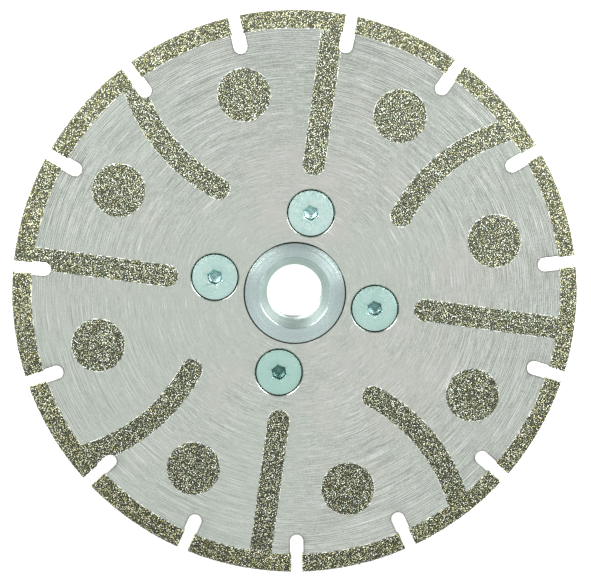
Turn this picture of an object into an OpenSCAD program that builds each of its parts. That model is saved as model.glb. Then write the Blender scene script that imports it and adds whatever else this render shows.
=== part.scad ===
// Screw-on diamond grinding and cutting disc.
// A slotted steel disc carries a single layer of diamond grit bonded in nickel: a rim band, straight
// and curved arms, and round dots. Four countersunk screws hold the disc to a threaded flange.
//
// Frame: +Z is the wheel's axis and points out of the working face. Z = 0 is the flange's rear seat,
// which the machine spindle's shoulder bears on and which the wheel also rests on when laid down.

/* [Disc] */
// Overall diameter over the abrasive coating
disc_d = 125; // [115:1:150]
// Thickness of the steel disc
core_t = 2.0; // [1.6:0.1:2.6]
// Thickness of the bonded grit on each coated face
coat_t = 0.4; // [0.2:0.05:0.6]
// Width of the coated band round the rim
rim_w = 4.2; // [3:0.1:6]
// Diameter of the hole that centres the disc on the flange
disc_bore_d = 22.23; // [22.21:0.01:22.3]

/* [Rim slots] */
// Number of cooling slots round the rim
slot_count = 15; // [8:1:18]
// Width of a slot in the bare steel
slot_w = 3.0; // [2:0.1:3.6]
// Length of a slot, from the rim to its round end
slot_l = 8.5; // [7:0.1:10]
// Direction of the first slot, counted from +X towards +Y
slot_angle = 6.4; // [0:0.1:24]

/* [Grit pattern] */
// Width of the straight and the curved arms
arm_w = 5.0; // [4:0.1:6]
// Distance from the wheel's centre to the inner tip of each arm
arm_tip_r = 26.2; // [26:0.1:30]
// Direction of the first straight arm
straight_arm_angle = 82.2; // [75:0.1:88]
// Radius of a curved arm's centreline
curve_r = 39.2; // [37:0.1:41]
// Distance from the wheel's centre to the centre of that curve
curve_centre_r = 57.6; // [56:0.1:59]
// Direction of the first curve's centre
curve_centre_angle = -1.7; // [-4:0.1:1]
// Diameter of a round dot
dot_d = 11.9; // [8:0.1:13]
// Distance from the wheel's centre to the centre of each dot
dot_ring_r = 45.2; // [44:0.1:47]
// Direction of the first dot
dot_angle = 14.7; // [13:0.1:16]
// Distance that the whole pattern stands off the wheel's axis, towards +X
pattern_shift = 0.3; // [0:0.1:0.6]

/* [Flange] */
// Diameter of the pilot boss that fills the disc's hole
boss_d = 22.16; // [22.05:0.01:22.19]
// Height of the boss above the steel disc
boss_proud = 0.3; // [0:0.1:1]
// Diameter of the plate behind the disc
plate_d = 50; // [48:0.5:51]
// Thickness of the plate
plate_t = 6.5; // [6.5:0.1:9]
// Diameter of the rear collar
collar_d = 24; // [23:0.5:26]
// Height of the rear collar
collar_h = 3.0; // [2.5:0.1:8]
// Distance across the collar's two wrench flats
flats_af = 19; // [18:1:21]
// Minor diameter of the spindle thread
thread_d = 12.2; // [11.8:0.05:12.2]
// Mouth diameter of the lead-in cone on the working side
front_cone_d = 15.8; // [14:0.1:17]
// Depth of that cone
front_cone_h = 3.1; // [1:0.1:4]
// Mouth diameter of the lead-in chamfer on the spindle side
rear_cone_d = 14.4; // [13:0.1:16]
// Edge bevel on the flange's outer corners
flange_bevel = 0.6; // [0.2:0.1:1]

/* [Screws] */
// Diameter of the circle that the screws stand on
screw_pcd = 36; // [35:0.5:37]
// Direction of the first screw
screw_angle = 78.7; // [70:0.1:90]
// Minor diameter of the screws' thread, as a plain shank
shank_d = 4.1; // [4.02:0.01:4.18]
// Minor diameter of the flange's tapped holes, as plain bores
tapped_d = 4.2; // [4.2:0.01:4.3]
// Length of a screw with its head
screw_l = 8.0; // [6:0.1:8]
// Diameter of the flat-topped head
head_d = 10; // [9.6:0.1:10.2]
// Height of the straight edge round the head
head_edge_h = 0.2; // [0.2:0.05:0.4]
// Depth of the head's top below the steel disc's face
head_below = 0.15; // [0.1:0.05:0.3]
// Space between the head's cone and its seat, measured sideways
seat_gap = 0.1; // [0.05:0.01:0.2]
// Hexagon socket, across flats
hex_af = 3.0; // [2.5:0.1:3.5]
// Depth of the socket's straight walls
hex_depth = 2.1; // [1.5:0.1:2.4]
// Direction of a corner of the socket
hex_turn = 39.5; // [0:0.5:60]

/* [Hidden] */
$fn = 96;
EPS = 0.01;         // overlap that keeps two cut faces from coinciding
FAR = 40;           // longer than any cut needs to be
edge_break = 0.25;  // fine bevel on the disc's hole and the boss's top edge

rim_r = disc_d / 2;
core_r = rim_r - coat_t;
band_r = rim_r - rim_w;
back_z = collar_h + plate_t;
front_z = back_z + core_t;
boss_top_z = front_z + boss_proud;
head_top_z = front_z - head_below;
arm_end_r = arm_tip_r + arm_w / 2;
slot_pitch = 360 / slot_count;
seat_mouth_r = head_d / 2 + head_below + head_edge_h + seat_gap;
rear_cone_h = (rear_cone_d - thread_d) / 2;

// Angle at the centre of a curved arm's arc between the wheel's centre and the arm's inner end
curve_end_angle = acos(
    (pow(curve_centre_r, 2) + pow(curve_r, 2) - pow(arm_end_r, 2)) / (2 * curve_centre_r * curve_r)
);

STEEL = [0.74, 0.76, 0.73];
GRIT = [0.47, 0.46, 0.37];
TURNED = [0.70, 0.73, 0.75];
ZINC = [0.68, 0.85, 0.81];

SLOTS = [1 : slot_count];
QUARTERS = [1 : 4];
DOTS = [1 : 8];
SIDES = ["front", "rear"];

function rim_name(k) = str("rim_grit_", k < 10 ? "0" : "", k);
function coat_name(side, shape, k) = str(side, "_", shape, "_", k);
function screw_name(k) = str("screw_", k);
function coat_names(shape, numbers) = [for (side = SIDES) for (k = numbers) coat_name(side, shape, k)];

// The place of screw k, at the height of the disc's back face.
module at_screw(k) {
    rotate([0, 0, screw_angle + 90 * (k - 1)]) translate([screw_pcd / 2, 0, back_z]) children();
}

// A radial slot of the given width, open at the rim and round at its inner end.
module slot_outline(k, width) {
    rotate([0, 0, slot_angle + slot_pitch * (k - 1)]) {
        end_r = rim_r - slot_l + slot_w / 2;
        translate([end_r, 0]) circle(d = width);
        translate([end_r, -width / 2]) square([slot_l, width]);
    }
}

// All the slots as they are in the bare steel.
module slots_outline() {
    for (k = SLOTS) slot_outline(k, slot_w);
}

// The steel disc: slotted, bored and countersunk.
module disc_core() {
    seat_h = core_t + EPS;
    color(STEEL) difference() {
        translate([0, 0, back_z]) linear_extrude(core_t) difference() {
            circle(r = core_r, $fn = 360);
            slots_outline();
        }
        translate([0, 0, back_z - EPS]) cylinder(d = disc_bore_d, h = core_t + 2 * EPS);
        translate([0, 0, front_z - edge_break])
            cylinder(d1 = disc_bore_d, d2 = disc_bore_d + 2 * (edge_break + EPS), h = edge_break + EPS);
        for (k = QUARTERS) at_screw(k) translate([0, 0, -EPS])
            cylinder(r1 = seat_mouth_r - seat_h, r2 = seat_mouth_r + EPS, h = seat_h + EPS);
    }
}

// The rim band's cross-section, with its outer corners bevelled. It reaches inwards past the band.
module rim_section() {
    low = back_z - coat_t;
    high = front_z + coat_t;
    inner_r = band_r - rim_w;
    polygon([
        [inner_r, low],
        [rim_r - coat_t, low],
        [rim_r, low + coat_t],
        [rim_r, high - coat_t],
        [rim_r - coat_t, high],
        [inner_r, high]
    ]);
}

// Grit on the rim between slot k and the next one. It wraps the disc's front face, rear face and
// outer edge, and the walls of both slots.
module rim_grit(k) {
    color(GRIT) difference() {
        rotate([0, 0, slot_angle + slot_pitch * (k - 1)])
            rotate_extrude(angle = slot_pitch, $fn = 360) rim_section();
        translate([0, 0, back_z - coat_t - EPS]) linear_extrude(core_t + 2 * coat_t + 2 * EPS)
            for (j = [k, k + 1]) slot_outline(j, slot_w - 2 * coat_t);
        translate([0, 0, back_z]) linear_extrude(core_t) difference() {
            circle(r = core_r, $fn = 360);
            for (j = [k, k + 1]) slot_outline(j, slot_w);
        }
        translate([pattern_shift, 0, back_z - coat_t - EPS])
            cylinder(r = band_r, h = core_t + 2 * coat_t + 2 * EPS, $fn = 360);
    }
}

// A flat layer of grit on one face of the disc, from an outline. It stops at the rim band and at
// the edges of the slots.
module face_coat(side) {
    base_z = side == "front" ? front_z : back_z - coat_t;
    color(GRIT) translate([0, 0, base_z]) linear_extrude(coat_t) difference() {
        translate([pattern_shift, 0]) intersection() {
            circle(r = band_r, $fn = 360);
            children();
        }
        slots_outline();
    }
}

// A straight radial arm with a round inner tip.
module arm(side, k) {
    face_coat(side) rotate([0, 0, straight_arm_angle + 90 * (k - 1)]) {
        translate([arm_end_r, 0]) circle(d = arm_w);
        translate([arm_end_r, -arm_w / 2]) square([FAR, arm_w]);
    }
}

// A curved arm: a ring round the curve's centre, kept from its inner end outwards.
module curve(side, k) {
    face_coat(side) rotate([0, 0, curve_centre_angle + 90 * (k - 1)]) translate([curve_centre_r, 0]) {
        rotate([0, 0, 180 - curve_end_angle]) translate([curve_r, 0]) circle(d = arm_w);
        difference() {
            circle(r = curve_r + arm_w / 2, $fn = 180);
            circle(r = curve_r - arm_w / 2, $fn = 180);
            rotate([0, 0, 180 - curve_end_angle]) translate([-2 * FAR, 0]) square(4 * FAR);
            rotate([0, 0, -curve_end_angle]) translate([-2 * FAR, -4 * FAR]) square(4 * FAR);
        }
    }
}

// A round dot.
module dot(side, k) {
    face_coat(side) rotate([0, 0, dot_angle + 45 * (k - 1)]) translate([dot_ring_r, 0]) circle(d = dot_d);
}

// The flange: rear collar, plate and pilot boss in one turned piece with the spindle hole.
module flange() {
    tap_mouth_r = seat_mouth_r - core_t;
    tap_r = tapped_d / 2;
    color(TURNED) difference() {
        rotate_extrude($fn = 180) polygon([
            [thread_d / 2, rear_cone_h],
            [rear_cone_d / 2, 0],
            [collar_d / 2 - flange_bevel, 0],
            [collar_d / 2, flange_bevel],
            [collar_d / 2, collar_h],
            [plate_d / 2 - flange_bevel, collar_h],
            [plate_d / 2, collar_h + flange_bevel],
            [plate_d / 2, back_z - flange_bevel],
            [plate_d / 2 - flange_bevel, back_z],
            [boss_d / 2, back_z],
            [boss_d / 2, boss_top_z - edge_break],
            [boss_d / 2 - edge_break, boss_top_z],
            [front_cone_d / 2, boss_top_z],
            [thread_d / 2, boss_top_z - front_cone_h]
        ]);
        for (turn = [0, 180]) rotate([0, 0, turn]) translate([flats_af / 2, -FAR / 2, -EPS])
            cube([FAR, FAR, collar_h + EPS]);
        for (k = QUARTERS) at_screw(k) {
            translate([0, 0, -plate_t - EPS]) cylinder(r = tap_r, h = plate_t + 2 * EPS, $fn = 48);
            translate([0, 0, tap_r - tap_mouth_r])
                cylinder(r1 = tap_r, r2 = tap_mouth_r + EPS, h = tap_mouth_r - tap_r + EPS, $fn = 48);
        }
    }
}

// A flat countersunk screw with a hexagon socket, its head just below the disc's face.
module screw(k) {
    head_r = head_d / 2;
    shank_r = shank_d / 2;
    tip_bevel = 0.6;
    top = head_top_z - back_z;
    cone_top = top - head_edge_h;
    color(ZINC) at_screw(k) difference() {
        rotate_extrude() polygon([
            [0, top],
            [head_r, top],
            [head_r, cone_top],
            [shank_r, cone_top - (head_r - shank_r)],
            [shank_r, top - screw_l + tip_bevel],
            [shank_r - tip_bevel, top - screw_l],
            [0, top - screw_l]
        ]);
        rotate([0, 0, hex_turn - screw_angle - 90 * (k - 1)]) translate([0, 0, top - hex_depth])
            cylinder(d = hex_af / cos(30), h = hex_depth + EPS, $fn = 6);
        translate([0, 0, top - hex_depth - hex_af / 4])
            cylinder(r1 = 0, r2 = hex_af / 2, h = hex_af / 4 + EPS, $fn = 48);
    }
}

flange();
disc_core();
for (k = SLOTS) rim_grit(k);
for (s = SIDES) for (k = QUARTERS) arm(s, k);
for (s = SIDES) for (k = QUARTERS) curve(s, k);
for (s = SIDES) for (k = DOTS) dot(s, k);
for (k = QUARTERS) screw(k);
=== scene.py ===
"""Looks of a screw-on diamond grinding disc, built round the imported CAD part.

Every coat of grit becomes a nickel bond with hundreds of separate crystals in it. The flange and
the screws get their threads, soft edges and turning marks. The steel disc keeps its CAD shape under
a circular grind. Lengths are in metres, in the part's own frame: +Z is the wheel's axis and points
out of the working face, and the floor is at Z = 0.
"""

import math

import bmesh
import bpy
import numpy as np
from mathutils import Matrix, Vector
from mathutils.bvhtree import BVHTree


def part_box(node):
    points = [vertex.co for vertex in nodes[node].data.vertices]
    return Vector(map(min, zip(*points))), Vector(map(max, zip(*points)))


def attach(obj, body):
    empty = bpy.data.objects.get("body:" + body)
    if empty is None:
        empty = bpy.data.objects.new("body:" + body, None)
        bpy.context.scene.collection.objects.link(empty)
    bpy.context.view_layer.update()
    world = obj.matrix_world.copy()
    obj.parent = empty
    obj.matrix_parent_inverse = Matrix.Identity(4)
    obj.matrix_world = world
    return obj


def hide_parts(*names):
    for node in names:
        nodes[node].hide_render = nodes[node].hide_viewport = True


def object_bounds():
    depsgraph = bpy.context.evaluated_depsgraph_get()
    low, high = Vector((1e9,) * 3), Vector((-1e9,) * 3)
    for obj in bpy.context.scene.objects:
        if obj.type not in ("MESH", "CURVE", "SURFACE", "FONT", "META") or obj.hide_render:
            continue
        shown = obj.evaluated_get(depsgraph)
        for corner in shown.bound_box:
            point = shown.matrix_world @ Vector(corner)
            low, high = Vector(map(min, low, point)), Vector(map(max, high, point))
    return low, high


MM = 0.001
SEED = 7
TAU = 2 * math.pi
SAME_POINT = 0.0005 * MM    # points nearer than this are merged
SHARP_ANGLE = 24            # degrees; edges that turn more stay sharp
UPRIGHT = 0.1               # faces whose normal rises less than this are walls
LEVEL = 0.9                 # and those whose normal rises more than this are flat

# Camera: a long lens, looking down the wheel's axis from a few degrees above it.
LENS = 219.3
CAMERA_DISTANCE = 0.7942
CAMERA_TILT = math.radians(6.0)      # towards +Y
CAMERA_LEAN = math.radians(1.2)      # towards -X
AIM_OFFSET = (0.13 * MM, 0.67 * MM)

# Grit: one layer of crystals, half sunk in the bond.
BOND_DEPTH = 0.20 * MM      # from the coat's outer surface down to the bond
BORDER_WIDTH = 0.13 * MM    # bare bond round a patch
CRYSTAL_RADIUS = (0.16 * MM, 0.24 * MM)
CRYSTAL_SPACING = 0.28 * MM
TRIES_PER_AREA = 34 / MM**2
CRYSTAL_SHAPES = 10
TOUCHING = 0.03 * MM        # faces nearer than this lie on each other
EDGE_SHADE_WIDTH = 0.56 * MM       # dark band of painted shade on the crystals at the rim's outer edge
BOND, BORDER, DIAMOND = range(3)    # the material slots of a grit piece

# Slots of the disc, as the CAD part has them.
SLOT_COUNT = 15
SLOT_TURN = math.radians(6.4)
SLOT_HALF = 1.5 * MM
SLOT_END_R = 55.5 * MM      # centre of the round inner end

# Turned parts: how many sides a full turn has.
FLANGE_SIDES = 240
SCREW_SIDES = 96
HOLE_SIDES = 48

# Threads.
SCREW_PITCH = 0.8 * MM
THREAD_CLEARANCE = 0.05 * MM
SCREW_THREAD_DEPTH = 0.4 * MM
SPINDLE_PITCH = 2.0 * MM
SPINDLE_THREAD_DEPTH = 0.9 * MM
FLANK = math.tan(math.radians(30))

# The turned parts' own dimensions, as the CAD part has them.
COLLAR_R = 12.0 * MM
COLLAR_H = 3.0 * MM
COLLAR_FLAT = 9.5 * MM
BOSS_R = 11.08 * MM
BORE_R = 6.1 * MM
FRONT_CONE_R = 7.9 * MM
FRONT_CONE_H = 3.1 * MM
CONE_RINGS = (0.1, 0.95)    # extra rings up the cone, which keep its shading even
REAR_CONE_R = 7.2 * MM
FLANGE_BEVEL = 0.6 * MM
SHANK_R = 2.05 * MM
TAPPED_R = 2.1 * MM
MOUTH_R = 3.45 * MM
TIP_BEVEL = 0.6 * MM
HEAD_EDGE = 0.2 * MM
HEX_FLATS = 3.0 * MM
HEX_DEPTH = 2.1 * MM
HEX_TURN = math.radians(39.5)
SOCKET_CHAMFER = 0.06 * MM  # round the socket's mouth
SOCKET_DRAFT = 0.12 * MM    # by how much its walls close in towards the bottom

# How much painted shade darkens each screw's head and socket, from 0 to 1, as the screws lie
# unevenly lit. The walls of a socket are at 1, painted shade down in the socket.
SCREW_SHADE_LEVEL = {"screw_1": 0.0, "screw_2": 0.18, "screw_3": 0.78, "screw_4": 0.54}

# Grinding marks of the disc: length in radians, spacing, centre, and share in the relief.
GRINDING = {
    "fine": (0.05, 0.08 * MM, (0, 0), 0.24),
    "long": (0.20, 0.09 * MM, (0, 0), 0.30),
    "crossing": (0.05, 0.11 * MM, (1.5 * MM, -2.5 * MM), 0.08),
    "crossing_back": (0.05, 0.11 * MM, (-2.5 * MM, 1.5 * MM), 0.08),
}
SPECK_SHARE = 0.28
RIDGE_SPACING = 0.40 * MM   # of the even ridges near the rim
RIDGE_SHARE = 0.052
GRIND_TURN = 0.25           # turns the stretched highlights of steel so that they point at the axis

# Steel of the disc, from the bottom of a grinding mark to its crest.
STEEL_DARK = (0.32, 0.347, 0.31)
STEEL = (0.512, 0.562, 0.508)
STEEL_BRIGHT = (0.715, 0.757, 0.705)
WARM_STEEL = (0.60, 0.575, 0.55, 1)
BAND_STEEL = (0.50, 0.54, 0.495, 1)
# painted shade along the edges of the slots
SLOT_SHADE = (0.13, 0.135, 0.115, 1)
DARK_LINE = (0.30, 0.32, 0.29, 1)
SCRATCH = (0.90, 0.92, 0.89, 1)
# a painted highlight on the countersinks' walls near their mouths, and painted shade further down
# them and in the bore
MOUTH_HIGHLIGHT = (0.56, 0.59, 0.55, 1)
DEEP_SHADE = (0.03, 0.035, 0.03, 1)

# Steel of the flange outside and in its bore. The stops run from the bottom of a turning mark to
# its crest, and so does the roughness.
FLANGE_STEEL = {
    "stops": [
        (0.38, (0.42, 0.52, 0.512)), (0.50, (0.475, 0.582, 0.568)), (0.62, (0.54, 0.648, 0.628)),
    ],
    "roughness": (0.21, 0.31),
    "anisotropy": 0.8,
    "relief": 0.5,
}
# The bore's colours are lighter than the outside's: painted light down in the cone and the bore.
# Its rougher finish is its own.
BORE_STEEL = {
    "stops": [
        (0.38, (0.45, 0.53, 0.505)), (0.50, (0.54, 0.62, 0.595)), (0.62, (0.64, 0.72, 0.695)),
    ],
    "roughness": (0.34, 0.39),
    "anisotropy": 0.5,
    "relief": 0.3,
}
# a painted dark line of shade round the boss's outer edge
BOSS_EDGE_SHADE = (0.07, 0.08, 0.07, 1)

# Passivated zinc of the screws, the painted shade on their heads, and their sockets: zinc painted
# lighter, as painted light down in the socket, and painted shade.
ZINC = [(0.30, (0.45, 0.635, 0.595)), (0.52, (0.525, 0.705, 0.665)), (0.72, (0.60, 0.735, 0.69))]
HEAD_SHADE = (0.36, 0.59, 0.52, 1)
LIT_SOCKET_ZINC = (0.64, 0.93, 0.94, 1)
SOCKET_SHADE = (0.06, 0.19, 0.17, 1)
HEAD_ROUGHNESS = (0.26, 0.42)
SOCKET_ROUGHNESS = (0.40, 0.55)

# Nickel down between the crystals, painted dark as the shade in the gaps between them, and round
# the outline of a patch.
SHADED_BOND_NICKEL = [
    (0.35, (0.02, 0.022, 0.014)), (0.55, (0.06, 0.065, 0.045)), (0.75, (0.19, 0.20, 0.15)),
]
BORDER_NICKEL = [
    (0.42, (0.15, 0.16, 0.13)), (0.52, (0.50, 0.54, 0.48)), (0.64, (0.92, 0.94, 0.90)),
]

# Tints of the crystals, from dark to flashing.
GOLDEN = [
    (0.00, (0.13, 0.125, 0.055)), (0.16, (0.36, 0.35, 0.16)), (0.42, (0.62, 0.63, 0.38)),
    (0.75, (0.76, 0.78, 0.61)), (1.00, (0.88, 0.89, 0.84)),
]
GREY_GREEN = [
    (0.00, (0.105, 0.112, 0.07)), (0.16, (0.31, 0.325, 0.185)), (0.42, (0.53, 0.56, 0.385)),
    (0.75, (0.66, 0.70, 0.61)), (1.00, (0.79, 0.82, 0.79)),
]
HAZE = (0.16, 0.16, 0.09, 1)
# painted shade on the crystals at the rim's outer edge
EDGE_SHADE_DIAMOND = (0.09, 0.095, 0.07, 1)
HUES = [(0.0, (1.0, 0.87, 0.56)), (0.5, (1.0, 1.0, 0.90)), (1.0, (0.82, 0.98, 1.0))]

# Studio: a floor, an even surround, and softboxes as (name, azimuth, elevation, distance, size,
# power).
FLOOR_REACH = 4.0
FLOOR_GLOW = 0.75
WORLD_STRENGTH = 0.40
SOFTBOXES = [
    ("overhead", 265, 76, 1.3, 1.0, 1.9),
    ("key", 34, 30, 0.19, 0.14, 0.74),
    ("fill", 138, 30, 0.19, 0.14, 0.74),
]

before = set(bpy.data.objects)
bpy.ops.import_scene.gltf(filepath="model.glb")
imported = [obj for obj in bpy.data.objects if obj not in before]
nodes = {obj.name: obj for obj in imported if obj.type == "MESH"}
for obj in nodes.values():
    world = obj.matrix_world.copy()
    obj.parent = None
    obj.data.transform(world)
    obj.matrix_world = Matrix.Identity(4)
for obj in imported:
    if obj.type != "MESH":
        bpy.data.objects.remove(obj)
cad_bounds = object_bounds()

core_low, core_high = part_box("disc_core")
BACK_Z = core_low.z
FRONT_Z = core_high.z
OUTER_R = cad_bounds[1][0]


def of_family(prefix):
    """The names of the CAD nodes that start with a prefix, in order."""
    return sorted(name for name in nodes if name.startswith(prefix))


# ---------------------------------------------------------------- node trees


class Tree:
    """Short calls for building a material's node tree."""

    def __init__(self, name):
        self.material = bpy.data.materials.new(name)
        self.material.use_nodes = True
        self.tree = self.material.node_tree
        self.tree.nodes.clear()

    def add(self, kind, inputs=None, **settings):
        """A node with its settings and inputs. A socket given as an input is linked."""
        node = self.tree.nodes.new(kind)
        for key, value in settings.items():
            setattr(node, key, value)
        for key, value in (inputs or {}).items():
            if isinstance(value, bpy.types.NodeSocket):
                self.tree.links.new(value, node.inputs[key])
            else:
                node.inputs[key].default_value = value
        return node

    def math(self, operation, a, b=0.0, c=0.0, clamp=False):
        inputs = {0: a, 1: b, 2: c}
        return self.add("ShaderNodeMath", inputs, operation=operation, use_clamp=clamp).outputs[0]

    def vector(self, operation, a, b=(0, 0, 0)):
        return self.add("ShaderNodeVectorMath", {0: a, 1: b}, operation=operation)

    def place(self):
        """The point in the piece's own frame."""
        return self.add("ShaderNodeTexCoord").outputs["Object"]

    def noise(self, vector, scale=1.0, detail=2.0, roughness=0.5):
        inputs = {"Vector": vector, "Scale": scale, "Detail": detail, "Roughness": roughness}
        return self.add("ShaderNodeTexNoise", inputs).outputs[0]

    def height(self, place):
        """The height over the floor."""
        return self.add("ShaderNodeSeparateXYZ", {0: place}).outputs["Z"]

    def from_axis(self, place):
        """The distance from the wheel's axis."""
        flat = self.vector("MULTIPLY", place, (1, 1, 0)).outputs[0]
        return self.vector("LENGTH", flat).outputs["Value"]

    def arcs(self, place, length, spacing, centre=(0, 0), detail=2.0):
        """Noise drawn out into arcs round a centre: length in radians, spacing in metres."""
        shift = self.vector("MULTIPLY_ADD", place, (1, 1, 0))
        shift.inputs[2].default_value = (-centre[0], -centre[1], 0)
        flat = shift.outputs[0]
        direction = self.vector("NORMALIZE", flat).outputs[0]
        around = self.vector("MULTIPLY", direction, (1 / length,) * 3).outputs[0]
        steps = self.math("DIVIDE", self.vector("LENGTH", flat).outputs["Value"], spacing)
        outward = self.add("ShaderNodeCombineXYZ", {"Z": steps}).outputs[0]
        return self.noise(self.vector("ADD", around, outward).outputs[0], detail=detail)

    def remap(self, value, low, high, to_low=0.0, to_high=1.0):
        inputs = {0: value, 1: low, 2: high, 3: to_low, 4: to_high}
        return self.add("ShaderNodeMapRange", inputs).outputs[0]

    def mix(self, factor, a, b, blend="MIX"):
        inputs = {0: factor, 6: a, 7: b}
        return self.add("ShaderNodeMix", inputs, data_type="RGBA", blend_type=blend).outputs[2]

    def ramp(self, factor, stops):
        node = self.add("ShaderNodeValToRGB", {0: factor})
        elements = node.color_ramp.elements
        while len(elements) < len(stops):
            elements.new(0.5)
        for element, (position, colour) in zip(elements, stops):
            element.position = position
            element.color = (*colour, 1)
        return node.outputs[0]

    def bump(self, height, strength, distance):
        inputs = {"Height": height, "Strength": strength, "Distance": distance}
        return self.add("ShaderNodeBump", inputs).outputs[0]

    def round_tangent(self):
        """The direction round the wheel's axis, along the grinding and turning marks."""
        return self.add("ShaderNodeTangent", direction_type="RADIAL", axis="Z").outputs[0]

    def surface(self, **inputs):
        """The Principled shader and the output. An underscore in a name stands for a space."""
        named = {key.replace("_", " "): value for key, value in inputs.items()}
        shader = self.add("ShaderNodeBsdfPrincipled", named)
        self.add("ShaderNodeOutputMaterial", {"Surface": shader.outputs[0]})
        return self.material


def near_slot(t, place, radius):
    """A mask of painted shade along the edges of the slots, which fades out unevenly beside them.

    The distance is measured from the middle line of the nearest slot."""
    parts = t.add("ShaderNodeSeparateXYZ", {0: place}).outputs
    turn = t.math("ARCTAN2", parts["Y"], parts["X"])
    step = TAU / SLOT_COUNT
    share = t.math("FLOORED_MODULO", t.math("SUBTRACT", turn, SLOT_TURN - step / 2), step)
    offset = t.math("SUBTRACT", share, step / 2)
    outward = t.math("MULTIPLY", radius, t.math("COSINE", offset))
    across = t.math("MULTIPLY", radius, t.math("SINE", offset))
    short = t.math("MINIMUM", t.math("SUBTRACT", outward, SLOT_END_R), 0)
    square = t.math("MULTIPLY_ADD", across, across, t.math("MULTIPLY", short, short))
    distance = t.math("SQRT", square)

    patchy = t.remap(t.noise(place, scale=330, detail=2), 0.42, 0.60)
    line = t.remap(distance, SLOT_HALF + 0.42 * MM, SLOT_HALF + 0.20 * MM)
    line = t.math("MULTIPLY", line, t.math("MULTIPLY_ADD", patchy, 0.45, 0.55))
    smudge = t.remap(distance, SLOT_HALF + 2.6 * MM, SLOT_HALF, 0.0, 0.30)
    return t.math("MAXIMUM", line, t.math("MULTIPLY", smudge, patchy))


def grinding_marks(t, place, radius, outer):
    """The relief of the grinding, round 0.5, and the long arcs in it on their own."""
    arcs = {
        name: t.arcs(place, length, spacing, centre, detail=0)
        for name, (length, spacing, centre, _) in GRINDING.items()
    }
    relief = t.math("MULTIPLY", t.noise(place, scale=4200, detail=1), SPECK_SHARE)
    for name, (*_, share) in GRINDING.items():
        relief = t.math("MULTIPLY_ADD", arcs[name], share, relief)
    wander = t.math("MULTIPLY", t.arcs(place, 0.5, 2.5 * MM), 16)
    phase = t.math("MULTIPLY_ADD", radius, TAU / RIDGE_SPACING, wander)
    ridges = t.math("MULTIPLY", outer, RIDGE_SHARE)
    relief = t.math("MULTIPLY_ADD", t.math("SINE", phase), ridges, relief)

    patches = t.remap(t.noise(place, scale=28, detail=1), 0.40, 0.60, 0.6, 1.25)
    depth = t.math("MULTIPLY", t.remap(radius, 12 * MM, 50 * MM, 0.40, 0.90), patches)
    return t.math("MULTIPLY_ADD", t.math("SUBTRACT", relief, 0.5), depth, 0.5), arcs["long"]


def ground_steel():
    """Circular-ground steel: fine arcs, a few stray scratches and faint warm clouds.

    The countersinks get a painted highlight at their mouths, and painted shade further down and in
    the bore."""
    t = Tree("ground_steel")
    place = t.place()
    radius = t.from_axis(place)
    outer = t.remap(radius, 30 * MM, 57 * MM)
    relief, long = grinding_marks(t, place, radius, outer)

    bands = t.arcs(place, 1.2, 3.0 * MM, detail=2)
    cloud = t.remap(t.noise(place, scale=48, detail=3, roughness=0.6), 0.50, 0.68)
    warm = t.math("MULTIPLY", cloud, t.remap(radius, 50 * MM, 30 * MM, 0.3, 1.0))
    dark = t.math("MULTIPLY", t.remap(long, 0.33, 0.27), t.math("MULTIPLY", outer, 0.5))
    scratch = t.remap(long, 0.74, 0.78)
    height = t.height(place)
    inner = t.remap(radius, 26 * MM, 25 * MM)
    # a painted highlight at the countersinks' mouths, and painted shade further down and in the
    # bore
    mouth = t.remap(height, FRONT_Z - 0.01 * MM, FRONT_Z - 0.04 * MM)
    recess_shade = t.remap(height, FRONT_Z - 0.15 * MM, FRONT_Z - 0.20 * MM)

    colour = t.ramp(relief, [(0.40, STEEL_DARK), (0.50, STEEL), (0.60, STEEL_BRIGHT)])
    colour = t.mix(t.math("MULTIPLY", warm, 0.6), colour, WARM_STEEL)
    colour = t.mix(t.remap(bands, 0.35, 0.65, 0.0, 0.10), colour, BAND_STEEL)
    # painted shade along the edges of the slots
    colour = t.mix(t.math("MULTIPLY", near_slot(t, place, radius), 0.75), colour, SLOT_SHADE)
    colour = t.mix(dark, colour, DARK_LINE)
    colour = t.mix(t.math("MULTIPLY", scratch, 0.6), colour, SCRATCH)
    for mask, strength, tone in ((mouth, 0.6, MOUTH_HIGHLIGHT), (recess_shade, 0.93, DEEP_SHADE)):
        mask = t.math("MULTIPLY", t.math("MULTIPLY", mask, inner), strength)
        colour = t.mix(mask, colour, tone)
    return t.surface(
        Base_Color=colour, Metallic=1.0, Roughness=t.remap(relief, 0.40, 0.60, 0.18, 0.26),
        Anisotropic=0.2, Anisotropic_Rotation=GRIND_TURN, Tangent=t.round_tangent(),
        Normal=t.bump(relief, 0.45, 0.02 * MM),
    )


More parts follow.
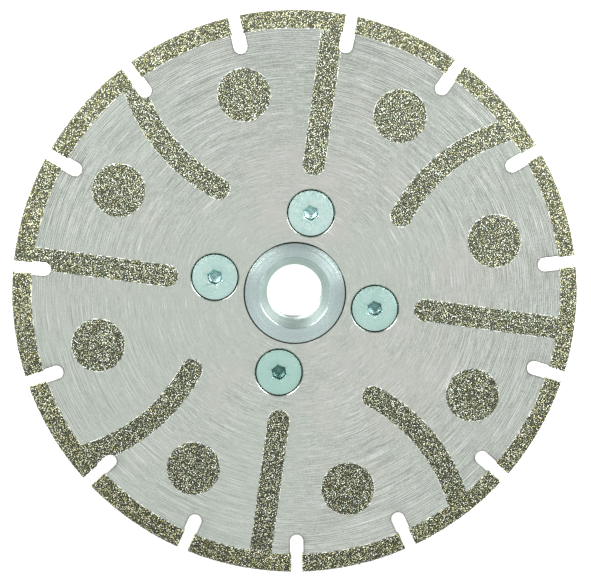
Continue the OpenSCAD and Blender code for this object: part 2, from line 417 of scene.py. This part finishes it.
def turned_steel(name, stops, roughness, anisotropy, relief):
    """Turned steel with fine feed marks. The relief is their strength on the side walls."""
    t = Tree(name)
    place = t.place()
    radius = t.from_axis(place)
    feed = t.arcs(place, 0.9, 0.13 * MM, detail=2)
    rings = t.arcs(place, 3.0, 0.7 * MM, detail=2)
    specks = t.noise(place, scale=3000, detail=1)
    marks = t.math("MULTIPLY", feed, 0.45)
    for part, share in ((rings, 0.25), (specks, 0.30)):
        marks = t.math("MULTIPLY_ADD", part, share, marks)
    upright = t.vector("MULTIPLY", place, (0, 0, 1)).outputs[0]
    side_feed = t.noise(upright, scale=1 / (0.2 * MM), detail=1)
    face_feed = t.math("MULTIPLY", t.math("ADD", feed, rings), 0.4)
    waves = t.math("MULTIPLY_ADD", side_feed, relief, face_feed)

    # painted shade: a dark line round the boss's outer edge
    line = t.remap(radius, BOSS_R - 0.11 * MM, BOSS_R - 0.04 * MM)
    line = t.math("MULTIPLY", line, t.remap(radius, 12 * MM, 11.5 * MM))
    colour = t.mix(t.math("MULTIPLY", line, 0.85), t.ramp(marks, stops), BOSS_EDGE_SHADE)
    return t.surface(
        Base_Color=colour, Metallic=1.0, Roughness=t.remap(feed, 0.4, 0.6, *roughness),
        Anisotropic=anisotropy, Anisotropic_Rotation=GRIND_TURN, Tangent=t.round_tangent(),
        Normal=t.bump(waves, 0.22, 0.02 * MM),
    )


def zinc_plate(name, socket):
    """The screws: bright zinc with a pale blue-green passivation, mottled. Sockets are duller."""
    t = Tree(name)
    place = t.place()
    cloud = t.noise(place, scale=420, detail=3, roughness=0.6)
    mottle = t.noise(place, scale=2600, detail=2)
    # painted shade: each screw's own level, and full on the socket walls
    painted_shade = t.add("ShaderNodeAttribute", attribute_name="painted_shade").outputs["Fac"]
    colour = t.mix(t.remap(mottle, 0.45, 0.75, 0.0, 0.3), t.ramp(cloud, ZINC), (*ZINC[-1][1], 1))
    # the socket's zinc is painted lighter, as painted light down in it, and then darkened by the
    # painted shade
    if socket:
        colour = t.mix(painted_shade, t.mix(0.6, colour, LIT_SOCKET_ZINC), SOCKET_SHADE)
    else:
        colour = t.mix(t.remap(painted_shade, 0.0, 1.0, 0.1, 0.8), colour, HEAD_SHADE)
    low, high = SOCKET_ROUGHNESS if socket else HEAD_ROUGHNESS
    return t.surface(
        Base_Color=colour, Metallic=1.0, Roughness=t.remap(mottle, 0.3, 0.7, low, high),
        Normal=t.bump(mottle, 0.25, 0.02 * MM),
    )


def shaded_nickel_bond():
    """The plated nickel down between the crystals: painted dark as the shade in the gaps, and
    lumpy.
    """
    t = Tree("shaded_nickel_bond")
    lumps = t.noise(t.place(), scale=5200, detail=3)
    return t.surface(
        Base_Color=t.ramp(lumps, SHADED_BOND_NICKEL), Metallic=0.7,
        Roughness=t.remap(lumps, 0.3, 0.7, 0.30, 0.55), Normal=t.bump(lumps, 0.9, 0.08 * MM),
    )


def nickel_border():
    """The bare nickel round the outline of a patch: bright, with small lumps."""
    t = Tree("nickel_border")
    lumps = t.noise(t.place(), scale=1400, detail=2)
    return t.surface(
        Base_Color=t.ramp(lumps, BORDER_NICKEL), Metallic=0.6,
        Roughness=t.remap(lumps, 0.3, 0.7, 0.28, 0.45), Normal=t.bump(lumps, 0.5, 0.05 * MM),
    )


def diamond(name, stops):
    """Synthetic diamond crystals, each with its own tint out of a range, and cloudy inside.

    The crystals at the wheel's outer edge are painted dark, as shade along the rim's edge."""
    t = Tree(name)
    place = t.place()
    tint = t.add("ShaderNodeAttribute", attribute_name="grain").outputs["Fac"]
    hue = t.ramp(t.math("FRACT", t.math("MULTIPLY", tint, 17.3)), HUES)
    haze = t.noise(place, scale=6500, detail=2)
    # painted shade: a dark band on the crystals at the rim's outer edge
    edge_shade = t.remap(t.from_axis(place), OUTER_R - EDGE_SHADE_WIDTH, OUTER_R - 0.65 * EDGE_SHADE_WIDTH, 0.0, 0.5)
    colour = t.mix(t.remap(tint, 0.50, 0.85, 1.0, 0.35), t.ramp(tint, stops), hue, "MULTIPLY")
    colour = t.mix(t.remap(haze, 0.35, 0.65, 0.0, 0.25), colour, HAZE, "MULTIPLY")
    colour = t.mix(edge_shade, colour, EDGE_SHADE_DIAMOND)
    return t.surface(
        Base_Color=colour, Metallic=0.0, Roughness=t.remap(haze, 0.3, 0.7, 0.26, 0.48), IOR=1.65,
        Normal=t.bump(haze, 0.2, 0.03 * MM),
    )


def pale_floor():
    """An even, near-white floor that gives some light of its own, as a light table does."""
    t = Tree("pale_floor")
    speck = t.noise(t.place(), scale=30, detail=2)
    colour = t.ramp(speck, [(0.3, (0.90, 0.90, 0.90)), (0.7, (0.93, 0.93, 0.93))])
    return t.surface(
        Base_Color=colour, Roughness=0.9, Emission_Color=(1, 1, 1, 1),
        Emission_Strength=FLOOR_GLOW,
    )


# ---------------------------------------------------------------- mesh work


def mesh_object(name, points, faces, materials):
    mesh = bpy.data.meshes.new(name)
    mesh.from_pydata(points, [], faces)
    for material in materials:
        mesh.materials.append(material)
    made = bpy.data.objects.new(name, mesh)
    bpy.context.scene.collection.objects.link(made)
    return made


def moved_to(centre, points):
    """Points moved from the wheel's axis to a screw's."""
    return [(x + centre.x, y + centre.y, z) for x, y, z in points]


def weld(mesh):
    """Merges the points that lie on each other and points all faces outwards."""
    b = bmesh.new()
    b.from_mesh(mesh)
    bmesh.ops.remove_doubles(b, verts=b.verts, dist=SAME_POINT)
    bmesh.ops.dissolve_degenerate(b, edges=b.edges, dist=SAME_POINT)
    bmesh.ops.recalc_face_normals(b, faces=b.faces)
    b.to_mesh(mesh)
    b.free()


def smooth_by_angle(piece, degrees):
    """Smooth shading, with the edges that turn more than the angle left sharp."""
    piece.data.polygons.foreach_set("use_smooth", [True] * len(piece.data.polygons))
    b = bmesh.new()
    b.from_mesh(piece.data)
    limit = math.radians(degrees)
    for edge in b.edges:
        edge.smooth = len(edge.link_faces) == 2 and edge.calc_face_angle(math.pi) < limit
    b.to_mesh(piece.data)
    b.free()


def lathe(rows, count, start=0.0, looped=False):
    """Points and faces of a skin turned round Z. Each row gives (radius, height) at a turn.

    A row with no radius is a single point on the axis. A looped skin closes on its first row. The
    skin ends on points of its own after the full turn, where a row of a thread has climbed by one
    pitch and meets a later row. Welding closes it."""
    turns = [i / count for i in range(count + 1)]
    points, faces, circles = [], [], []
    for row in rows:
        circle = []
        for turn in turns:
            radius, height = row(turn)
            if radius is None and circle:
                circle.append(circle[0])
                continue
            angle = start + TAU * turn
            reach = radius or 0
            circle.append(len(points))
            points.append((reach * math.cos(angle), reach * math.sin(angle), height))
        circles.append(circle)
    following = circles[1:] + circles[:1] if looped else circles[1:]
    for lower, upper in zip(circles, following):
        for i in range(count):
            corners = dict.fromkeys((lower[i], lower[i + 1], upper[i + 1], upper[i]))
            if len(corners) > 2:
                faces.append(tuple(corners))
    return points, faces


def ring(radius, height):
    """A lathe row that is a plain circle."""
    return lambda turn: (radius, height)


def tip(height):
    """A lathe row that is one point on the axis."""
    return lambda turn: (None, height)


def rounded(radius, height, size, inward, upward, steps=3):
    """Rows round a soft corner, from its wall to its flat face. The signs say where they lie."""
    quarter = [0.5 * math.pi * i / steps for i in range(steps + 1)]
    return [
        ring(radius + inward * size * (1 - math.cos(a)), height + upward * size * (math.sin(a) - 1))
        for a in quarter
    ]


def thread_rows(radius, depth, pitch, low, high, fade_low, fade_high, mouth=None):
    """Rows of a right-hand V thread between two heights. The rows climb with the thread.

    The ridge stands depth above the radius and fades out over a length at each end. A mouth is a
    (height, radius) from which the bore widens at 45 degrees."""
    flank = depth * FLANK / pitch
    flat = 0.5 - flank
    corners = (0.0, flat, flat + flank, 1 - flank)

    def ridge(position):
        share = position % 1
        if share <= flat:
            return 1.0
        if share <= flat + flank:
            return 1 - (share - flat) / flank
        return max(0.0, (share - 1 + flank) / flank)

    def fade(height):
        from_low = (height - low) / fade_low if fade_low else 1.0
        from_high = (high - height) / fade_high if fade_high else 1.0
        return max(0.0, min(1.0, from_low, from_high))

    def row(offset):
        def place(turn):
            height = min(max((offset + turn) * pitch, low), high)
            wall = radius + depth * ridge(height / pitch - turn) * fade(height)
            if mouth and height > mouth[0]:
                wall = max(wall, mouth[1] + height - mouth[0])
            return wall, height
        return place

    first = math.floor(low / pitch) - 1
    last = math.ceil(high / pitch)
    return [row(n + corner) for n in range(first, last + 1) for corner in corners]


def cut(piece, cutters):
    """Takes the cutters' shapes out of a piece and removes the cutters."""
    for cutter in cutters:
        modifier = piece.modifiers.new("cut", "BOOLEAN")
        modifier.operation = "DIFFERENCE"
        modifier.solver = "EXACT"
        modifier.object = cutter
    evaluated = piece.evaluated_get(bpy.context.evaluated_depsgraph_get())
    piece.data = bpy.data.meshes.new_from_object(evaluated)
    piece.modifiers.clear()
    for cutter in cutters:
        bpy.data.objects.remove(cutter)


# ---------------------------------------------------------------- grit


def crystal_shapes(rng):
    """Convex crystals of unit radius as (points, triangles), from blocky to splintery."""
    shapes = []
    for k in range(CRYSTAL_SHAPES):
        spread = rng.normal(size=(8 + k % 3, 3))
        spread /= np.linalg.norm(spread, axis=1)[:, None]
        b = bmesh.new()
        for point in spread * rng.uniform(0.78, 1.0, 3):
            b.verts.new(point)
        bmesh.ops.convex_hull(b, input=b.verts)
        bmesh.ops.triangulate(b, faces=b.faces)
        b.verts.index_update()
        points = np.array([v.co for v in b.verts])
        shapes.append((points, np.array([[v.index for v in f.verts] for f in b.faces])))
        b.free()
    return shapes


def scatter(corners, rng):
    """Points on triangles, no two nearer than the crystals' spacing, and the normals there."""
    side_a = corners[:, 1] - corners[:, 0]
    side_b = corners[:, 2] - corners[:, 0]
    cross = np.cross(side_a, side_b)
    area = np.linalg.norm(cross, axis=1) / 2
    tries = int(area.sum() * TRIES_PER_AREA)
    chosen = rng.choice(len(area), tries, p=area / area.sum())
    a, b = rng.random((2, tries))
    beyond = a + b > 1
    a[beyond], b[beyond] = 1 - a[beyond], 1 - b[beyond]
    points = corners[chosen, 0] + a[:, None] * side_a[chosen] + b[:, None] * side_b[chosen]
    cells = np.floor(points / CRYSTAL_SPACING).astype(int)
    around = [(i, j, k) for i in (-1, 0, 1) for j in (-1, 0, 1) for k in (-1, 0, 1)]
    taken, kept = {}, []
    least = CRYSTAL_SPACING**2
    for index, ((x, y, z), (cx, cy, cz)) in enumerate(zip(points.tolist(), cells.tolist())):
        crowded = any(
            (x - px) ** 2 + (y - py) ** 2 + (z - pz) ** 2 < least
            for i, j, k in around
            for px, py, pz in taken.get((cx + i, cy + j, cz + k), ())
        )
        if not crowded:
            taken.setdefault((cx, cy, cz), []).append((x, y, z))
            kept.append(index)
    normals = cross[chosen[kept]] / (2 * area[chosen[kept]])[:, None]
    return points[kept], normals


def turned_at_random(count, rng):
    """Rotation matrices spread evenly over all directions, from random quaternions."""
    q = rng.normal(size=(count, 4))
    w, x, y, z = (q / np.linalg.norm(q, axis=1)[:, None]).T
    rows = [
        [1 - 2 * (y * y + z * z), 2 * (x * y - z * w), 2 * (x * z + y * w)],
        [2 * (x * y + z * w), 1 - 2 * (x * x + z * z), 2 * (y * z - x * w)],
        [2 * (x * z - y * w), 2 * (y * z + x * w), 1 - 2 * (x * x + y * y)],
    ]
    return np.moveaxis(np.array(rows), 2, 0)


def sink(b, bearing, depth):
    """Moves the faces that bear crystals inwards. Their other neighbours keep their planes."""
    moves = {}
    for vert in {v for f in bearing for v in f.verts}:
        planes = np.array([f.normal for f in vert.link_faces])
        shifts = np.array([-depth if f in bearing else 0.0 for f in vert.link_faces])
        moves[vert] = np.linalg.lstsq(planes, shifts, rcond=0.05)[0]
    for vert, move in moves.items():
        vert.co += Vector(move)


def has_bare_border(strip, kept, coat_tree, core_tree):
    """True if a strip along a patch's outline has bare steel beside it, not a slot or a coat."""
    outline = [e for e in strip.edges if any(f not in kept for f in e.link_faces)]
    if not outline:
        return False
    middle = (outline[0].verts[0].co + outline[0].verts[1].co) / 2
    outward = (middle - strip.calc_center_median()).normalized()
    beside = middle + outward * (0.3 * BORDER_WIDTH)
    joined = coat_tree.ray_cast(beside, strip.normal, BOND_DEPTH * 1.2)[0]
    steel = core_tree.ray_cast(beside + strip.normal * TOUCHING, -strip.normal, 2 * BOND_DEPTH)[0]
    return joined is None and steel is not None


def bond_mesh(node, bears, coat_tree, core_tree):
    """The bond of one coat as points, triangles and which of the two bond materials each has."""
    b = bmesh.new()
    b.from_mesh(nodes[node].data)
    bmesh.ops.remove_doubles(b, verts=b.verts, dist=SAME_POINT)
    b.normal_update()
    bearing = {
        f for f in b.faces
        if bears(f) and core_tree.find_nearest(f.calc_center_median())[3] > TOUCHING
    }
    sink(b, bearing, BOND_DEPTH)
    b.normal_update()
    inset = bmesh.ops.inset_region(
        b, faces=list(bearing), thickness=BORDER_WIDTH, use_even_offset=True
    )
    strips = set(inset["faces"])
    kept = bearing | strips
    b.normal_update()
    bare = {f for f in strips if has_bare_border(f, kept, coat_tree, core_tree)}
    for face in b.faces:
        face.material_index = BOND if face in kept and face not in bare else BORDER
    bmesh.ops.triangulate(b, faces=b.faces)
    b.verts.index_update()
    points = np.array([v.co for v in b.verts])
    triangles = np.array([[v.index for v in f.verts] for f in b.faces])
    material = np.array([f.material_index for f in b.faces])
    b.free()
    return points, triangles, material


def grit_piece(node, bears, materials, shapes, trees, rng):
    """One coat: its bond, and crystals scattered over the bond's bearing faces."""
    points, triangles, material = bond_mesh(node, bears, *trees)
    seats, normals = scatter(points[triangles[material == BOND]], rng)
    count = len(seats)
    size = rng.uniform(*CRYSTAL_RADIUS, count)
    lift = rng.uniform(-0.25, 0.10, count) * size
    centres = seats + normals * lift[:, None]
    turns = turned_at_random(count, rng)
    tint = rng.random(count)
    kind = rng.integers(0, len(shapes), count)

    all_points, all_triangles = [points], [triangles]
    grain = [np.zeros(len(points))]
    total = len(points)
    for number, (corners, sides) in enumerate(shapes):
        chosen = np.flatnonzero(kind == number)
        placed = np.einsum("nij,vj->nvi", turns[chosen], corners) * size[chosen, None, None]
        placed += centres[chosen, None]
        starts = total + len(corners) * np.arange(len(chosen))
        all_points.append(placed.reshape(-1, 3))
        all_triangles.append((sides[None] + starts[:, None, None]).reshape(-1, 3))
        grain.append(np.repeat(tint[chosen], len(corners)))
        total += len(corners) * len(chosen)

    faces = np.concatenate(all_triangles).tolist()
    piece = mesh_object(f"{node}_coat", np.concatenate(all_points), faces, materials)
    mesh = piece.data
    crystals = len(mesh.polygons) - len(material)
    mesh.polygons.foreach_set("material_index", [*material.tolist(), *[DIAMOND] * crystals])
    attribute = mesh.attributes.new("grain", "FLOAT", "POINT")
    attribute.data.foreach_set("value", np.concatenate(grain).astype(np.float32))
    return piece


def tree_of(names):
    """One search tree over the meshes of several CAD nodes."""
    points, triangles = [], []
    for name in names:
        mesh = nodes[name].data
        first = len(points)
        points += [v.co.copy() for v in mesh.vertices]
        triangles += [[first + i for i in p.vertices] for p in mesh.polygons]
    return BVHTree.FromPolygons(points, triangles)


def is_flat_face(face):
    """On an arm, a curve or a dot, the crystals stand on the flat face and not on the edges."""
    return abs(face.normal.z) > LEVEL


def is_not_inner_wall(face):
    """On the rim band, the crystals stand on every face except the step down to the bare steel."""
    middle = face.calc_center_median()
    outward = Vector((middle.x, middle.y, 0)).normalized()
    return face.normal.dot(outward) > -0.5


def make_grit():
    rng = np.random.default_rng(SEED)
    shapes = crystal_shapes(rng)
    rims = of_family("rim_grit")
    patches = [
        name
        for side in ("front", "rear")
        for kind in ("arm", "curve", "dot")
        for name in of_family(f"{side}_{kind}")
    ]
    trees = tree_of(rims + patches), tree_of(["disc_core"])
    bond = [shaded_nickel_bond(), nickel_border()]
    families = [
        (rims, is_not_inner_wall, "rim_grit", diamond("golden_diamond", GOLDEN)),
        (patches, is_flat_face, "face_grit", diamond("grey_green_diamond", GREY_GREEN)),
    ]
    for names, bears, slot, crystal in families:
        for name in names:
            piece = grit_piece(name, bears, [*bond, crystal], shapes, trees, rng)
            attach(piece, "disc_body")
            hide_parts(name)


# ---------------------------------------------------------------- turned parts


def make_screw(name, materials):
    """A countersunk screw with a real thread, a chamfered hexagon socket and a drilled bottom."""
    low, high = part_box(name)
    centre = (low + high) / 2
    head_r = (high.x - low.x) / 2
    top, bottom = high.z, low.z
    cone_low = top - HEAD_EDGE - (head_r - SHANK_R)
    half_flat = HEX_FLATS / 2
    wide = half_flat / math.cos(math.radians(30))

    def hexagon(height, wider=0.0):
        across = half_flat + wider
        return lambda turn: (across / math.cos(TAU * ((turn * 6) % 1 - 0.5) / 6), height)

    rows = [
        tip(bottom),
        ring(SHANK_R - TIP_BEVEL, bottom),
        ring(SHANK_R, bottom + TIP_BEVEL),
        *thread_rows(
            SHANK_R, SCREW_THREAD_DEPTH, SCREW_PITCH, bottom + TIP_BEVEL, cone_low,
            fade_low=0.5 * MM, fade_high=0.4 * MM,
        ),
        ring(SHANK_R, cone_low),
        ring(head_r, top - HEAD_EDGE),
        *rounded(head_r, top, 0.10 * MM, -1, 1),
        ring(wide + SOCKET_CHAMFER, top),
        hexagon(top - SOCKET_CHAMFER),
        hexagon(top - HEX_DEPTH, wider=-SOCKET_DRAFT),
        ring(half_flat - SOCKET_DRAFT, top - HEX_DEPTH),
        tip(top - HEX_DEPTH - half_flat / 2),
    ]
    points, faces = lathe(rows, SCREW_SIDES, start=HEX_TURN)
    piece = mesh_object(f"{name}_turned", moved_to(centre, points), faces, materials)
    weld(piece.data)
    shades = []
    for face in piece.data.polygons:
        away = (face.center - centre).xy.length
        depth = top - face.center.z
        in_socket = away < wide and SOCKET_CHAMFER < depth < HEX_DEPTH + half_flat
        is_wall = in_socket and abs(face.normal.z) < UPRIGHT
        # the socket walls get full painted shade, the rest the screw's own level of painted shade
        face.material_index = int(in_socket)
        shades.append(1.0 if is_wall else SCREW_SHADE_LEVEL[name])
    painted_shade = piece.data.attributes.new("painted_shade", "FLOAT", "FACE")
    painted_shade.data.foreach_set("value", shades)
    smooth_by_angle(piece, SHARP_ANGLE)
    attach(piece, f"{name}_body")
    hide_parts(name)


def tapped_hole(name, low):
    """The shape that a screw's tapped hole takes out of the flange: its thread with room."""
    box_low, box_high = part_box(name)
    centre = (box_low + box_high) / 2
    mouth_z = BACK_Z - (MOUTH_R - TAPPED_R)
    high = mouth_z + SCREW_THREAD_DEPTH + THREAD_CLEARANCE
    rows = [
        tip(low),
        *thread_rows(
            TAPPED_R, SCREW_THREAD_DEPTH, SCREW_PITCH, low, high,
            fade_low=0, fade_high=0, mouth=(mouth_z, TAPPED_R),
        ),
        ring(MOUTH_R + MM, BACK_Z + MM),
        tip(BACK_Z + MM),
    ]
    points, faces = lathe(rows, HOLE_SIDES, start=HEX_TURN)
    cutter = mesh_object(f"hole_{name}", moved_to(centre, points), faces, [])
    weld(cutter.data)
    return cutter


def collar_flat(side):
    """The block that leaves one wrench flat on the collar."""
    far = 2 * COLLAR_R
    xs = sorted((side * COLLAR_FLAT, side * far))
    corners = [(x, y, z) for x in xs for y in (-far, far) for z in (-MM, COLLAR_H)]
    faces = [(0, 1, 3, 2), (4, 6, 7, 5), (0, 4, 5, 1), (2, 3, 7, 6), (0, 2, 6, 4), (1, 5, 7, 3)]
    block = mesh_object(f"flat_{side}", corners, faces, [])
    weld(block.data)
    return block


def make_flange(materials):
    """The flange: collar with wrench flats, plate with tapped holes, boss and spindle thread."""
    low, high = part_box("flange")
    plate_r = high.x
    boss_top = high.z
    bore_top = boss_top - FRONT_CONE_H
    bore_low = REAR_CONE_R - BORE_R
    cone_run = FRONT_CONE_R - BORE_R
    soft = 0.10 * MM
    fillet = 0.3 * MM
    lip = 0.06 * MM

    def bevelled(radius, height, inward, upward):
        return [
            ring(radius, height - upward * FLANGE_BEVEL),
            ring(radius + inward * FLANGE_BEVEL, height),
        ]

    rows = [
        ring(BORE_R, bore_top),
        *[ring(BORE_R + at * cone_run, bore_top + at * FRONT_CONE_H) for at in CONE_RINGS],
        ring(FRONT_CONE_R - lip, boss_top - soft),
        ring(FRONT_CONE_R + lip, boss_top),
        *rounded(BOSS_R, boss_top, 2 * lip, -1, 1)[::-1],
        ring(BOSS_R, BACK_Z + fillet),
        ring(BOSS_R + 0.3 * fillet, BACK_Z + 0.3 * fillet),
        ring(BOSS_R + fillet, BACK_Z),
        *bevelled(plate_r, BACK_Z, -1, 1)[::-1],
        *bevelled(plate_r, COLLAR_H, -1, -1),
        ring(COLLAR_R + fillet, COLLAR_H),
        ring(COLLAR_R + 0.3 * fillet, COLLAR_H - 0.3 * fillet),
        ring(COLLAR_R, COLLAR_H - fillet),
        *bevelled(COLLAR_R, low.z, -1, -1),
        ring(REAR_CONE_R + soft, low.z),
        ring(REAR_CONE_R, low.z + soft),
        *thread_rows(
            BORE_R, SPINDLE_THREAD_DEPTH, SPINDLE_PITCH, bore_low, bore_top,
            fade_low=0.5 * MM, fade_high=0.9 * MM,
        ),
    ]
    points, faces = lathe(rows, FLANGE_SIDES, looped=True)
    piece = mesh_object("flange_turned", points, faces, materials)
    weld(piece.data)
    cutters = [tapped_hole(name, COLLAR_H - MM) for name in of_family("screw")]
    cut(piece, cutters + [collar_flat(side) for side in (-1, 1)])
    for face in piece.data.polygons:
        in_bore = face.center.xy.length < FRONT_CONE_R and face.center.z < boss_top - soft
        face.material_index = int(in_bore)
    smooth_by_angle(piece, SHARP_ANGLE)
    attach(piece, "flange_body")
    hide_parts("flange")


def finish_core():
    """The steel disc keeps its CAD mesh and gets its ground surface."""
    core = nodes["disc_core"]
    core.data.materials.clear()
    core.data.materials.append(ground_steel())


# ---------------------------------------------------------------- studio


def make_floor():
    far = FLOOR_REACH
    corners = [(-far, -far, 0), (far, -far, 0), (far, far, 0), (-far, far, 0)]
    floor = mesh_object("floor", corners, [(0, 1, 2, 3)], [pale_floor()])


def make_softbox(name, azimuth, elevation, distance, size, power):
    """A square lamp at a direction from the wheel, facing it. Azimuth runs from +X towards +Y."""
    data = bpy.data.lights.new(name, "AREA")
    data.shape = "SQUARE"
    data.size = size
    data.energy = power
    lamp = bpy.data.objects.new(name, data)
    a, e = math.radians(azimuth), math.radians(elevation)
    away = Vector((math.cos(a) * math.cos(e), math.sin(a) * math.cos(e), math.sin(e)))
    lamp.location = Vector((0, 0, FRONT_Z)) + away * distance
    lamp.rotation_mode = "QUATERNION"
    lamp.rotation_quaternion = away.to_track_quat("Z", "Y")
    bpy.context.scene.collection.objects.link(lamp)


def make_lights():
    world = bpy.data.worlds.new("studio")
    world.use_nodes = True
    background = world.node_tree.nodes["Background"]
    background.inputs["Color"].default_value = (1.0, 1.0, 1.0, 1)
    background.inputs["Strength"].default_value = WORLD_STRENGTH
    bpy.context.scene.world = world
    for lamp in SOFTBOXES:
        make_softbox(*lamp)


def make_camera():
    data = bpy.data.cameras.new("camera")
    data.lens = LENS
    data.clip_start = 0.01
    data.clip_end = 20
    camera = bpy.data.objects.new("camera", data)
    camera.rotation_euler = (-CAMERA_TILT, -CAMERA_LEAN, 0)
    back = camera.rotation_euler.to_matrix() @ Vector((0, 0, 1))
    aim = Vector((*AIM_OFFSET, FRONT_Z))
    camera.location = aim + back * CAMERA_DISTANCE
    scene = bpy.context.scene
    scene.collection.objects.link(camera)
    scene.camera = camera
    scene.view_settings.view_transform = "Standard"


make_camera()
make_lights()
make_floor()
finish_core()
outside = turned_steel("turned_steel", **FLANGE_STEEL)
bore = turned_steel("bored_steel_painted_light", **BORE_STEEL)
make_flange([outside, bore])
zinc = [zinc_plate("zinc_plate", socket=False), zinc_plate("zinc_socket", socket=True)]
for screw in of_family("screw"):
    make_screw(screw, zinc)
make_grit()
